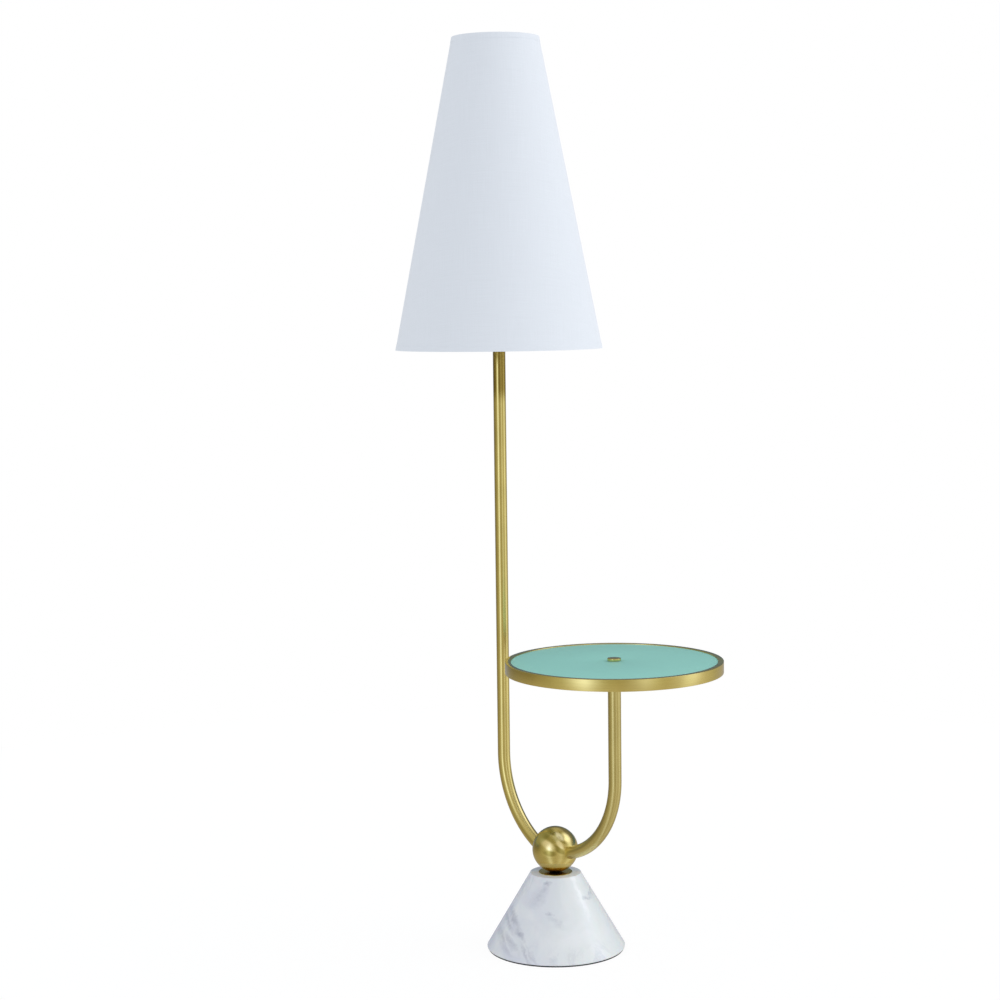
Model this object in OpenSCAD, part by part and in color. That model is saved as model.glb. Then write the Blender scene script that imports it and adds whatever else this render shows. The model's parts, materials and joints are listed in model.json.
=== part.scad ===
// Floor lamp with a round side table.
// A marble cone carries a brass ball. Two bent brass tubes leave the ball: the stem
// rises on the -X side to the shade, and the arm on the +X side to the table.
// Millimetres, +Z up, origin on the floor under the centre of the marble cone.

/* [Base] */
// Diameter of the marble cone near the floor
base_d = 241; // [210:1:300]
// Diameter of the marble cone at its top
base_top_d = 89; // [76:1:110]
// Height of the marble's top above the floor
base_top = 134; // [120:1:160]
// Thickness of the pad under the marble
pad_t = 2.2; // [1:0.1:3]
// Diameter of the brass disc under the ball
disc_d = 58.6; // [50:0.1:68]
// Thickness of the brass disc under the ball
disc_t = 1.2; // [0.8:0.1:5]

/* [Ball and tubes] */
// Diameter of the brass ball
ball_d = 80; // [76:1:90]
// Outer diameter of the stem and of the arm
tube_d = 22; // [20:0.1:24]
// Wall of the stem and of the arm
tube_wall = 1.5; // [1:0.1:1.6]
// Distance from the base's axis to the stem's upright
stem_reach = 136; // [130:1:142]
// Radius of the stem's bend
stem_bend_r = 170; // [166:1:174]
// Height of the bend's upper end on the stem
stem_bend_z = 326; // [324:0.5:328]
// Distance from the base's axis to the arm's upright
arm_reach = 154; // [148:1:160]
// Radius of the arm's bend
arm_bend_r = 150; // [146:1:154]
// Height of the bend's upper end on the arm
arm_bend_z = 321.5; // [320:0.5:324]
// Height of the stem's upper end, inside the shade
stem_top = 1276; // [1260:1:1290]

/* [Table] */
// Outer diameter of the table's rim
table_d = 366; // [320:1:400]
// Height of the rim's top above the floor
table_top = 526.5; // [500:0.5:600]
// Height of the rim's bar
rim_h = 19.5; // [19:0.1:24]
// Width of the rim's bar, seen from above
rim_w = 9.5; // [6:0.1:12]
// Depth of the glass below the rim's top
glass_drop = 1; // [0.2:0.1:2]
// Thickness of the coloured glass
glass_t = 6; // [5:0.1:6]
// Diameter of the cap in the middle of the glass
cap_d = 23; // [16:0.5:30]
// Height of that cap
cap_h = 4.4; // [4:0.1:8]

/* [Shade] */
// Outer diameter of the shade at its lower edge
shade_bottom_d = 363; // [340:1:400]
// Outer diameter of the shade at its upper edge
shade_top_d = 152; // [146:1:180]
// Height of the shade's lower edge above the floor
shade_bottom = 1044; // [1030:0.5:1060]
// Height of the shade itself
shade_h = 539; // [530:0.5:550]
// Thickness of the linen
linen_t = 0.8; // [0.5:0.1:1.2]
// Thickness of the stiff liner that the linen is glued to
liner_t = 0.7; // [0.4:0.1:1]
// Width of the hem tapes
hem_w = 9; // [5:0.5:12]
// Diameter of the shade frame's wire
frame_wire_d = 3.2; // [2.6:0.1:3.6]

/* [Harp and bulb] */
// Width of the harp between the wires' centres
harp_w = 116; // [110:1:120]
// Height of the harp's shoulder above the stem
harp_h = 254; // [245:1:260]
// Diameter of the harp's wire
harp_wire_d = 4; // [3.6:0.1:4.4]
// Diameter of the bulb
bulb_d = 60; // [50:1:62]
// Length of the bulb with its cap
bulb_l = 110; // [100:1:120]

/* [Hidden] */
$fn = 96;

// Overrun of a cut past the face that it opens
cut = 1;
// Radial play of parts that slide on each other, and of threads drawn as plain cylinders
run_gap = 0.05;
thread_gap = 0.02;
// Clearance of a plain hole round a rod or screw, and between a set screw and what it grips
hole_gap = 0.2;
screw_gap = 0.1;

// Base
edge_bevel = 1.5;
pad_inset = 0.4;
recess_r = 36;
recess_h = 32;
rod_r = 5;
rod_bore_r = 3.6;
washer_t = 2.5;
washer_r = 20;
lock_t = 2;
lock_r = 9;
lock_slot = 1.2;
nut_t = 6.5;
nut_flats = 17;
marble_bore_r = 6;
recess_top = pad_t + recess_h;
nut_bottom = recess_top - washer_t - lock_t - nut_t;
rod_bottom = nut_bottom - 1;
// Cord way through the marble's rear, near the floor
cord_z = 15;
cord_way_r = 4.5;
bush_face_x = -108;
bush_pocket_r = 8.5;
bush_flange_r = 8;
bush_flange_t = 2.5;
bush_shank_r = 5.9;
bush_seat_r = 6.1;
bush_shank_l = 12;
bush_bore_r = 3.8;

// Ball and tubes
ball_r = ball_d / 2;
tube_r = tube_d / 2;
tube_in_r = tube_r - tube_wall;
seat_top = base_top + disc_t;
// The ball stands on a flat that is this deep
ball_flat = 0.7;
ball_z = seat_top + ball_r - ball_flat;
// Each tube ends inside the ball, this far from its axis
tube_end_x = 14;
tube_sides = [-1, 1];
function side_reach(side) = side < 0 ? stem_reach : arm_reach;
function side_bend_r(side) = side < 0 ? stem_bend_r : arm_bend_r;
function side_bend_z(side) = side < 0 ? stem_bend_z : arm_bend_z;
// Distance of a bend's centre from the ball's axis, towards its own upright
function bend_x(side) = side_reach(side) - side_bend_r(side);
// Height of a bend's centre line at a distance from the ball's axis, and its angle there
function line_z(side, x) = side_bend_z(side) - sqrt(pow(side_bend_r(side), 2) - pow(x - bend_x(side), 2));
function line_a(side, x) = acos((x - bend_x(side)) / side_bend_r(side));
bore_sweep = 25;
// Level bore that takes the lead from the rod to the stem
cross_r = 5;
cross_z = (line_z(-1, 0) + line_z(-1, tube_end_x)) / 2;
rod_top = cross_z - cross_r - 1;
ball_screw_x = 24;
ball_screw_l = 11;
grub_r = 2.5;
grub_socket_d = 2.9;
grub_socket_h = 2.4;

// Supply lead
lead_r = 2.2;
lead_bend_r = 6;
lead_tail_x = -30;
lead_joint_r = lead_r + 0.3;

// Table
table_r = table_d / 2;
rim_in_r = table_r - rim_w;
rim_bottom = table_top - rim_h;
inset_r = rim_in_r - 0.2;
glass_top = table_top - glass_drop;
glass_z = glass_top - glass_t;
bumper_t = 1;
core_top = glass_z - bumper_t;
plate_t = 2;
plate_z = rim_bottom + 3;
flange_r = 40;
flange_t = 5;
flange_z = plate_z - flange_t;
hub_r = 16;
hub_h = 20;
hub_z = flange_z - hub_h;
arm_top = flange_z - 1;
flange_screw_count = 4;
flange_screw_ring_r = 29;
flange_screw_r = 2.1;
flange_head_r = 4.5;
flange_head_h = 2.6;
flange_socket_d = 3.4;
flange_socket_h = 1.6;
hub_screw_l = 4.6;
stud_r = 4;
plug_h = 26;
stud_bottom = arm_top - plug_h;
cap_washer_t = 0.6;
cap_z = glass_top + cap_washer_t;
bumper_count = 4;
bumper_ring_r = 120;
bumper_r = 6;
glass_hole_r = 5.5;
cap_roof_t = 1.5;

// Shade
shade_top = shade_bottom + shade_h;
shade_bottom_r = shade_bottom_d / 2;
shade_top_r = shade_top_d / 2;
shade_slope = (shade_bottom_r - shade_top_r) / shade_h;
skin_t = linen_t + liner_t;
hem_t = 0.35;
frame_wire_r = frame_wire_d / 2;
function shade_r(z) = shade_bottom_r - (z - shade_bottom) * shade_slope;
function shade_wire_r(z) = shade_r(z) - skin_t - frame_wire_r * 1.05;
top_ring_z = shade_top - frame_wire_r - 1;
bottom_ring_z = shade_bottom + frame_wire_r + 1;
spider_arms = 3;
spider_washer_r = 15;
spider_washer_t = 2;
spider_hole_r = 3.4;

// Stem's upper end, socket and bulb
stem_x = -stem_reach;
arm_x = arm_reach;
bush_h = 22;
nipple_r = 5;
nipple_bore_r = 3.6;
check_ring_r = 13;
check_ring_t = 3;
saddle_t = 2;
strap_w = 13;
nipple_nut_t = 3;
nipple_nut_flats = 14;
nipple_down = 18;
nipple_up = 7;
nipple_gap = 0.15;
saddle_z = stem_top + check_ring_t;
socket_z = saddle_z + saddle_t + nipple_nut_t;
socket_cap_h = 18;
socket_cap_t = 0.8;
socket_cap_top_r = 9;
socket_cap_slope_h = 9;
socket_shell_z = socket_z + 14;
socket_shell_h = 46;
socket_shell_r = 16.2;
socket_shell_t = 0.6;
liner_r = socket_shell_r - socket_shell_t - run_gap;
socket_liner_t = 0.5;
socket_body_z = socket_z + 17;
socket_body_h = 16;
socket_body_r = liner_r - socket_liner_t - 0.15;
terminal_flat = 11.2;
terminal_head_r = 2.4;
terminal_head_h = 1.8;
terminal_r = 1.25;
terminal_l = 5;
screw_shell_z = socket_body_z + socket_body_h;
screw_shell_h = 25;
screw_shell_r = 13.8;
screw_shell_t = 0.4;
contact_r = 4;
contact_t = 2;
shaft_z = socket_z + 25;
shaft_r = 2;
shaft_hole_r = 2.6;
shaft_x0 = 5;
shaft_x1 = 29;
knob_x = 19;
knob_l = 14;
knob_r = 6;
knob_flutes = 12;
flute_r = 0.9;
bulb_z = screw_shell_z + contact_t;
bulb_base_z = bulb_z + 2;
bulb_base_h = 25;
bulb_base_r = 13.1;
bulb_neck_r = 14;
bulb_neck_z = bulb_base_z + bulb_base_h - 1;
bulb_r = bulb_d / 2;
bulb_centre = bulb_z + bulb_l - bulb_r;
bulb_wall = 1;
bulb_tail_h = 6;
bulb_base_t = 0.6;
bulb_contact_r = 5;
bulb_base_foot_r = 9;
bulb_base_foot_h = 4;

// Harp
harp_wire_r = harp_wire_d / 2;
harp_half = harp_w / 2;
leg_y = 26;
harp_nut_r = 6.5;
harp_nut_h = 9;
leg_z = stem_top + 24;
leg_h = 34;
shoulder_z = stem_top + harp_h;
crown_z = shoulder_z - harp_nut_h + 3 - harp_half;
harp_bend_r = (harp_half - leg_y) / 2;
upright_z = leg_z + leg_h + 2 * harp_bend_r;
harp_stud_r = 3;
harp_stud_h = 18;
sleeve_z = stem_top + 16;
sleeve_h = 16;
sleeve_t = 0.9;
finial_z = shoulder_z + spider_washer_t;
finial_foot_r = 7;
finial_foot_h = 3;
finial_neck_r = 4.6;
finial_neck_h = 10;
finial_knob_r = 8;
finial_knob_z = 14;

// A tube between two heights, with an optional bore
module pipe(r, z0, z1, bore = 0) {
    translate([0, 0, z0]) {
        difference() {
            cylinder(r = r, h = z1 - z0);
            if (bore > 0)
                translate([0, 0, -cut]) cylinder(r = bore, h = z1 - z0 + 2 * cut);
        }
    }
}

// A round bar or tube bent in the XZ plane about the origin. It starts at an angle above
// +X and sweeps on from there, downwards where the sweep is negative.
module bent_bar(r, bend_r, start, sweep, bore = 0) {
    rotate([90, 0, 0])
        rotate([0, 0, start])
            mirror([0, sweep < 0 ? 1 : 0, 0])
                rotate_extrude(angle = abs(sweep))
                    translate([bend_r, 0])
                        difference() {
                            circle(r = r);
                            if (bore > 0) circle(r = bore);
                        }
}

// A cone-shaped band of the shade's wall: its inner and outer offsets from the shade's surface
module shade_band(z0, z1, inner, outer) {
    rotate_extrude()
        polygon([
            [shade_r(z0) + inner, z0],
            [shade_r(z0) + outer, z0],
            [shade_r(z1) + outer, z1],
            [shade_r(z1) + inner, z1]
        ]);
}

module around(count, r) {
    for (i = [0 : count - 1])
        rotate([0, 0, (i + 0.5) * 360 / count]) translate([r, 0, 0]) children();
}

module floor_pad() {
    color("#1d1d1f")
        cylinder(r1 = base_d / 2 - edge_bevel - pad_inset, r2 = base_d / 2 - edge_bevel, h = pad_t);
}

module marble_base() {
    r0 = base_d / 2;
    r1 = base_top_d / 2;
    color("#e4e6ea")
        difference() {
            rotate_extrude()
                polygon([
                    [0, pad_t], [r0 - edge_bevel, pad_t], [r0, pad_t + edge_bevel * 1.5],
                    [r1, base_top - edge_bevel / 2], [r1 - edge_bevel / 2, base_top], [0, base_top]
                ]);
            translate([0, 0, pad_t - cut]) cylinder(r = recess_r, h = recess_h + cut);
            cylinder(r = marble_bore_r, h = base_top + cut);
            translate([0, 0, cord_z]) rotate([0, -90, 0]) {
                cylinder(r = cord_way_r, h = -bush_face_x);
                translate([0, 0, -bush_face_x - bush_shank_l]) cylinder(r = bush_seat_r, h = bush_shank_l + cut);
                translate([0, 0, -bush_face_x]) cylinder(r = bush_pocket_r, h = base_d / 2 + bush_face_x + cut);
            }
        }
}

module base_washer() {
    color("#b9bcc0") pipe(washer_r, recess_top - washer_t, recess_top, rod_r + 2 * hole_gap);
}

module lock_washer() {
    color("#a6a9ad")
        difference() {
            pipe(lock_r, recess_top - washer_t - lock_t, recess_top - washer_t, rod_r + hole_gap);
            translate([0, -lock_slot / 2, nut_bottom]) cube([lock_r + cut, lock_slot, recess_h]);
        }
}

module base_nut() {
    color("#b9bcc0")
        translate([0, 0, nut_bottom])
            difference() {
                cylinder(d = nut_flats / cos(30), h = nut_t, $fn = 6);
                translate([0, 0, -cut]) cylinder(r = rod_r + thread_gap, h = nut_t + 2 * cut);
            }
}

module tie_rod() {
    color("#b9bcc0") pipe(rod_r, rod_bottom, rod_top, rod_bore_r);
}

module seat_disc() {
    bevel = 0.3;
    r = disc_d / 2;
    color("#b8a55a")
        difference() {
            rotate_extrude()
                polygon([
                    [0, base_top], [r, base_top], [r, seat_top - bevel], [r - bevel, seat_top], [0, seat_top]
                ]);
            translate([0, 0, base_top - cut]) cylinder(r = rod_r + hole_gap, h = disc_t + 2 * cut);
        }
}

module cord_bushing() {
    color("#222224")
        translate([bush_face_x, 0, cord_z])
            rotate([0, -90, 0])
                difference() {
                    union() {
                        cylinder(r = bush_flange_r, h = bush_flange_t);
                        translate([0, 0, -bush_shank_l]) cylinder(r = bush_shank_r, h = bush_shank_l);
                    }
                    translate([0, 0, -bush_shank_l - cut])
                        cylinder(r = bush_bore_r, h = bush_shank_l + bush_flange_t + 2 * cut);
                }
}

// From the recess under the marble up through the rod, the ball and the stem to the socket
module supply_lead() {
    turn_up = rod_bottom - 0.5;
    turn_out = line_z(-1, 0);
    color("#d9d4c4") {
        translate([lead_tail_x, 0, turn_up - lead_bend_r])
            rotate([0, 90, 0]) cylinder(r = lead_r, h = -lead_bend_r - lead_tail_x);
        translate([-lead_bend_r, 0, turn_up]) bent_bar(lead_r, lead_bend_r, -90, 90);
        translate([0, 0, turn_up]) cylinder(r = lead_r, h = turn_out - turn_up);
        translate([0, 0, turn_out]) sphere(r = lead_joint_r);
        translate([-bend_x(-1), 0, stem_bend_z]) bent_bar(lead_r, stem_bend_r, 180, line_a(-1, 0));
        translate([stem_x, 0, stem_bend_z]) cylinder(r = lead_r, h = socket_shell_z - stem_bend_z);
    }
}

module ball() {
    color("#b39f52")
        difference() {
            translate([0, 0, ball_z]) sphere(r = ball_r);
            translate([0, 0, seat_top - ball_r]) cylinder(r = ball_r, h = ball_r);
            for (side = tube_sides) {
                translate([side * bend_x(side), 0, side_bend_z(side)])
                    bent_bar(
                        tube_r + run_gap, side_bend_r(side),
                        270 + side * (90 - line_a(side, tube_end_x)), side * bore_sweep
                    );
                translate([side * ball_screw_x, 0, line_z(side, ball_screw_x)])
                    rotate([-90, 0, 0]) cylinder(r = grub_r, h = ball_r);
            }
            translate([-tube_end_x - cut, 0, cross_z])
                rotate([0, 90, 0]) cylinder(r = cross_r, h = tube_end_x + cut + rod_r);
            translate([0, 0, seat_top - cut]) cylinder(r = rod_r + thread_gap, h = cross_z - seat_top);
        }
}

module grub_screw(l) {
    difference() {
        cylinder(r = grub_r - run_gap, h = l);
        translate([0, 0, l - grub_socket_h]) cylinder(d = grub_socket_d, h = grub_socket_h + cut, $fn = 6);
    }
}

module ball_grub_screws() {
    color("#8c8e92")
        for (side = tube_sides)
            translate([side * ball_screw_x, tube_r + screw_gap, line_z(side, ball_screw_x)])
                rotate([-90, 0, 0]) grub_screw(ball_screw_l);
}

// A tube that leaves the ball, bends upwards and rises; side is -1 for the stem, 1 for the arm
module upright(side, top) {
    mirror([side < 0 ? 1 : 0, 0, 0]) {
        translate([bend_x(side), 0, side_bend_z(side)])
            bent_bar(tube_r, side_bend_r(side), 0, -line_a(side, tube_end_x), tube_in_r);
        translate([side_reach(side), 0, 0]) pipe(tube_r, side_bend_z(side), top, tube_in_r);
    }
}

module stem_tube() {
    color("#b8a75f") upright(-1, stem_top);
}

module arm_tube() {
    color("#b8a75f") upright(1, arm_top);
}

module stem_top_bush() {
    color("#b5a04c")
        translate([stem_x, 0, 0]) pipe(tube_in_r - run_gap, stem_top - bush_h, stem_top, nipple_r + thread_gap);
}

module socket_nipple() {
    color("#b9bcc0") translate([stem_x, 0, 0]) pipe(nipple_r, stem_top - nipple_down, socket_z + nipple_up, nipple_bore_r);
}

module check_ring() {
    color("#b8a55a")
        translate([stem_x, 0, 0]) pipe(check_ring_r, stem_top, saddle_z, nipple_r + nipple_gap);
}

module nipple_nut() {
    color("#b9bcc0")
        translate([stem_x, 0, saddle_z + saddle_t])
            difference() {
                cylinder(d = nipple_nut_flats / cos(30), h = nipple_nut_t, $fn = 6);
                translate([0, 0, -cut]) cylinder(r = nipple_r + thread_gap, h = nipple_nut_t + 2 * cut);
            }
}

module harp_saddle() {
    color("#b8a55a")
        translate([stem_x, 0, saddle_z])
            difference() {
                union() {
                    translate([-strap_w / 2, -leg_y, 0]) cube([strap_w, 2 * leg_y, saddle_t]);
                    for (y = [-leg_y, leg_y]) {
                        translate([0, y, 0]) cylinder(r = strap_w / 2, h = saddle_t);
                        translate([0, y, 0]) cylinder(r = harp_wire_r, h = leg_z - saddle_z);
                    }
                }
                translate([0, 0, -cut]) cylinder(r = nipple_r + nipple_gap, h = saddle_t + 2 * cut);
            }
}

module harp_side() {
    translate([leg_y, 0, leg_z]) cylinder(r = harp_wire_r, h = leg_h);
    translate([leg_y + harp_bend_r, 0, leg_z + leg_h]) bent_bar(harp_wire_r, harp_bend_r, 90, 90);
    translate([leg_y + harp_bend_r, 0, upright_z]) bent_bar(harp_wire_r, harp_bend_r, 270, 90);
    translate([harp_half, 0, upright_z]) cylinder(r = harp_wire_r, h = crown_z - upright_z);
}

module harp() {
    color("#b8a55a")
        translate([stem_x, 0, 0])
            rotate([0, 0, 90]) {
                harp_side();
                mirror([1, 0, 0]) harp_side();
                translate([0, 0, crown_z]) bent_bar(harp_wire_r, harp_half, 0, 180);
                translate([0, 0, shoulder_z - harp_nut_h]) cylinder(r = harp_nut_r, h = harp_nut_h);
                translate([0, 0, shoulder_z]) cylinder(r = harp_stud_r, h = harp_stud_h);
            }
}

module harp_sleeve(side) {
    color("#a8964c")
        translate([stem_x, side * leg_y, 0])
            pipe(harp_wire_r + run_gap + sleeve_t, sleeve_z, sleeve_z + sleeve_h, harp_wire_r + run_gap);
}

module front_sleeve() {
    harp_sleeve(-1);
}

module rear_sleeve() {
    harp_sleeve(1);
}

module socket_cap() {
    r = socket_shell_r + run_gap;
    t = socket_cap_t;
    top_r = socket_cap_top_r;
    slope_h = socket_cap_slope_h;
    color("#b8a55a")
        translate([stem_x, 0, socket_z])
            rotate_extrude()
                polygon([
                    [nipple_r + screw_gap, 0], [top_r, 0], [r + t, slope_h], [r + t, socket_cap_h],
                    [r, socket_cap_h], [r, slope_h + t / 2], [top_r - t / 2, t], [nipple_r + screw_gap, t]
                ]);
}

module socket_shell() {
    color("#b8a55a")
        translate([stem_x, 0, 0])
            difference() {
                pipe(
                    socket_shell_r, socket_shell_z, socket_shell_z + socket_shell_h,
                    socket_shell_r - socket_shell_t
                );
                translate([0, 0, shaft_z]) rotate([0, 90, 0]) cylinder(r = shaft_hole_r, h = 2 * socket_shell_r);
            }
}

module socket_liner() {
    color("#cfc3a4")
        translate([stem_x, 0, 0])
            difference() {
                pipe(
                    liner_r, socket_shell_z + 1, socket_shell_z + socket_shell_h - 1,
                    liner_r - socket_liner_t
                );
                translate([0, 0, shaft_z]) rotate([0, 90, 0]) cylinder(r = shaft_hole_r, h = 2 * socket_shell_r);
            }
}

module socket_body() {
    color("#1c1c1e")
        translate([stem_x, 0, socket_body_z])
            difference() {
                cylinder(r = socket_body_r, h = socket_body_h);
                for (side = [-1, 1])
                    translate([-socket_shell_r, side > 0 ? terminal_flat : -terminal_flat - socket_shell_r, -cut])
                        cube([2 * socket_shell_r, socket_shell_r, socket_body_h - 3]);
                for (side = [-1, 1])
                    translate([0, side * terminal_flat, socket_body_h / 2 - 1])
                        rotate([90, 0, 0]) cylinder(r = terminal_r + run_gap, h = 2 * terminal_l + cut, center = true);
                translate([shaft_x0 - 1, 0, shaft_z - socket_body_z])
                    rotate([0, 90, 0]) cylinder(r = shaft_r + run_gap, h = 20);
            }
}

module screw_shell() {
    color("#c2b168")
        translate([stem_x, 0, 0])
            pipe(screw_shell_r, screw_shell_z, screw_shell_z + screw_shell_h, screw_shell_r - screw_shell_t);
}

module centre_contact() {
    color("#c2b168") translate([stem_x, 0, 0]) pipe(contact_r, screw_shell_z, screw_shell_z + contact_t);
}

module terminal_screws() {
    color("#b9bcc0")
        for (side = [-1, 1])
            translate([stem_x, side * terminal_flat, socket_body_z + socket_body_h / 2 - 1])
                rotate([-90 * side, 0, 0]) {
                    cylinder(r = terminal_head_r, h = terminal_head_h);
                    translate([0, 0, -terminal_l]) cylinder(r = terminal_r, h = terminal_l + cut / 2);
                }
}

module switch_shaft() {
    color("#b9bcc0")
        translate([stem_x + shaft_x0, 0, shaft_z])
            rotate([0, 90, 0]) cylinder(r = shaft_r, h = shaft_x1 - shaft_x0);
}

module switch_knob() {
    color("#1c1c1e")
        translate([stem_x + knob_x, 0, shaft_z])
            rotate([0, 90, 0])
                difference() {
                    cylinder(r = knob_r, h = knob_l);
                    translate([0, 0, -cut]) cylinder(r = shaft_r + thread_gap, h = shaft_x1 - knob_x + cut);
                    for (i = [0 : knob_flutes - 1])
                        rotate([0, 0, i * 360 / knob_flutes])
                            translate([knob_r + flute_r / 3, 0, 2]) cylinder(r = flute_r, h = knob_l);
                }
}

// The bulb's outline is a sphere, a cone that touches it and a tail inside the bulb's base.
// The shrink argument moves it in to the wall's inner face, which leaves a shoulder under the cone.
module bulb_form(shrink, tail_h = bulb_tail_h) {
    r = bulb_r - shrink;
    neck_r = bulb_neck_r - shrink;
    neck_h = bulb_centre - bulb_neck_z - shrink;
    reach_d = sqrt(neck_r * neck_r + neck_h * neck_h);
    touch_a = acos(r / reach_d) - atan2(neck_h, neck_r);
    translate([0, 0, bulb_centre]) sphere(r = r);
    translate([0, 0, bulb_centre - neck_h])
        cylinder(r1 = neck_r, r2 = r * cos(touch_a), h = neck_h + r * sin(touch_a));
    translate([0, 0, bulb_neck_z - tail_h])
        cylinder(r = bulb_base_r - bulb_base_t - run_gap - shrink, h = tail_h + bulb_wall + shrink);
}

module bulb_glass() {
    color("#f4f4f2")
        translate([stem_x, 0, 0])
            difference() {
                bulb_form(0);
                bulb_form(bulb_wall, bulb_tail_h + cut);
            }
}

module bulb_base() {
    color("#c9cbce")
        translate([stem_x, 0, bulb_base_z])
            difference() {
                union() {
                    cylinder(r1 = bulb_base_foot_r, r2 = bulb_base_r, h = bulb_base_foot_h);
                    translate([0, 0, bulb_base_foot_h])
                        cylinder(r = bulb_base_r, h = bulb_base_h - bulb_base_foot_h - 1);
                }
                translate([0, 0, bulb_base_foot_h + 1]) cylinder(r = bulb_base_r - bulb_base_t, h = bulb_base_h);
            }
}

module bulb_contact() {
    color("#a9abad")
        translate([stem_x, 0, 0]) pipe(bulb_contact_r, bulb_z, bulb_base_z);
}

module shade_linen() {
    color("#eef1f6") translate([stem_x, 0, 0]) shade_band(shade_bottom, shade_top, -linen_t, 0);
}

module shade_liner() {
    color("#f6f6f4") translate([stem_x, 0, 0]) shade_band(shade_bottom, shade_top, -skin_t, -linen_t);
}

module top_hem() {
    color("#e9ecf2") translate([stem_x, 0, 0]) shade_band(shade_top - hem_w, shade_top, 0, hem_t);
}

module bottom_hem() {
    color("#e9ecf2") translate([stem_x, 0, 0]) shade_band(shade_bottom, shade_bottom + hem_w, 0, hem_t);
}

module bottom_ring() {
    color("#dcdcda")
        translate([stem_x, 0, bottom_ring_z])
            rotate_extrude() translate([shade_wire_r(bottom_ring_z), 0]) circle(r = frame_wire_r);
}

// The shade's upper wire ring, with three arms that dip to the washer on the harp
module shade_spider() {
    ring_r = shade_wire_r(top_ring_z);
    washer_z = shoulder_z + spider_washer_t / 2;
    arm_start = spider_washer_r - 2;
    run = ring_r - arm_start;
    rise = top_ring_z - washer_z;
    color("#dcdcda")
        translate([stem_x, 0, 0]) {
            translate([0, 0, top_ring_z])
                rotate_extrude() translate([ring_r, 0]) circle(r = frame_wire_r);
            pipe(spider_washer_r, shoulder_z, shoulder_z + spider_washer_t, spider_hole_r);
            for (i = [0 : spider_arms - 1])
                rotate([0, 0, 90 + i * 360 / spider_arms])
                    translate([arm_start, 0, washer_z])
                        rotate([0, atan2(run, rise), 0])
                            cylinder(r = frame_wire_r * 0.9, h = sqrt(run * run + rise * rise));
        }
}

module finial() {
    color("#b39f52")
        translate([stem_x, 0, finial_z])
            difference() {
                union() {
                    cylinder(r = finial_foot_r, h = finial_foot_h);
                    cylinder(r = finial_neck_r, h = finial_neck_h);
                    translate([0, 0, finial_knob_z]) sphere(r = finial_knob_r);
                }
                translate([0, 0, -cut]) cylinder(r = harp_stud_r + run_gap, h = harp_stud_h);
            }
}

module table_flange() {
    color("#8d8f92")
        translate([arm_x, 0, 0])
            difference() {
                union() {
                    pipe(flange_r, flange_z, plate_z);
                    pipe(hub_r, hub_z, flange_z + 1);
                }
                translate([0, 0, hub_z - cut]) cylinder(r = tube_r + run_gap, h = arm_top - hub_z + cut);
                translate([0, 0, hub_z]) cylinder(r = stud_r + hole_gap, h = hub_h + flange_t + cut);
                around(flange_screw_count, flange_screw_ring_r)
                    translate([0, 0, flange_z - cut]) cylinder(r = flange_screw_r + hole_gap, h = flange_t + 2 * cut);
                for (side = [-1, 1])
                    translate([0, 0, hub_z + hub_h / 2])
                        rotate([90 * side, 0, 0]) cylinder(r = grub_r, h = hub_r + cut);
            }
}

module flange_grub_screws() {
    color("#8c8e92")
        for (side = [-1, 1])
            translate([arm_x, 0, hub_z + hub_h / 2])
                rotate([90 * side, 0, 0]) translate([0, 0, tube_r + screw_gap]) grub_screw(hub_screw_l);
}

module flange_screws() {
    color("#8c8e92")
        translate([arm_x, 0, 0])
            around(flange_screw_count, flange_screw_ring_r) {
                translate([0, 0, flange_z - flange_head_h])
                    difference() {
                        cylinder(r = flange_head_r, h = flange_head_h);
                        translate([0, 0, -cut]) cylinder(d = flange_socket_d, h = cut + flange_socket_h, $fn = 6);
                    }
                pipe(flange_screw_r, flange_z - 0.5, core_top - 1);
            }
}

module arm_plug() {
    color("#b5a04c")
        translate([arm_x, 0, 0])
            pipe(tube_in_r - run_gap, stud_bottom, arm_top, stud_r + thread_gap);
}

module table_plate() {
    color("#dcdcd8")
        translate([arm_x, 0, 0])
            difference() {
                pipe(inset_r, plate_z, plate_z + plate_t, stud_r + 2 * hole_gap);
                around(flange_screw_count, flange_screw_ring_r)
                    translate([0, 0, plate_z - cut]) cylinder(r = flange_screw_r + hole_gap, h = plate_t + 2 * cut);
            }
}

module table_core() {
    color("#b08d5e")
        translate([arm_x, 0, 0])
            difference() {
                pipe(inset_r, plate_z + plate_t, core_top, stud_r + 2 * hole_gap);
                around(flange_screw_count, flange_screw_ring_r)
                    translate([0, 0, plate_z]) cylinder(r = flange_screw_r + thread_gap, h = core_top - plate_z - 1);
            }
}

module glass_pads() {
    color("#e8e8e6")
        translate([arm_x, 0, 0])
            around(bumper_count, bumper_ring_r) pipe(bumper_r, core_top, glass_z);
}

module table_glass() {
    color("#8bc2ba")
        translate([arm_x, 0, 0]) pipe(inset_r, glass_z, glass_top, glass_hole_r);
}

module table_rim() {
    bevel = 0.5;
    color("#b8a75f")
        translate([arm_x, 0, 0])
            rotate_extrude()
                polygon([
                    [rim_in_r, rim_bottom], [table_r - bevel, rim_bottom], [table_r, rim_bottom + bevel],
                    [table_r, table_top - bevel], [table_r - bevel, table_top], [rim_in_r, table_top]
                ]);
}

module table_stud() {
    color("#b9bcc0") translate([arm_x, 0, 0]) pipe(stud_r, stud_bottom, cap_z + cap_h - cap_roof_t - screw_gap);
}

module cap_washer() {
    color("#dcdcd8")
        translate([arm_x, 0, 0]) pipe(cap_d / 2 - 1, glass_top, cap_z, stud_r + hole_gap);
}

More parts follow.
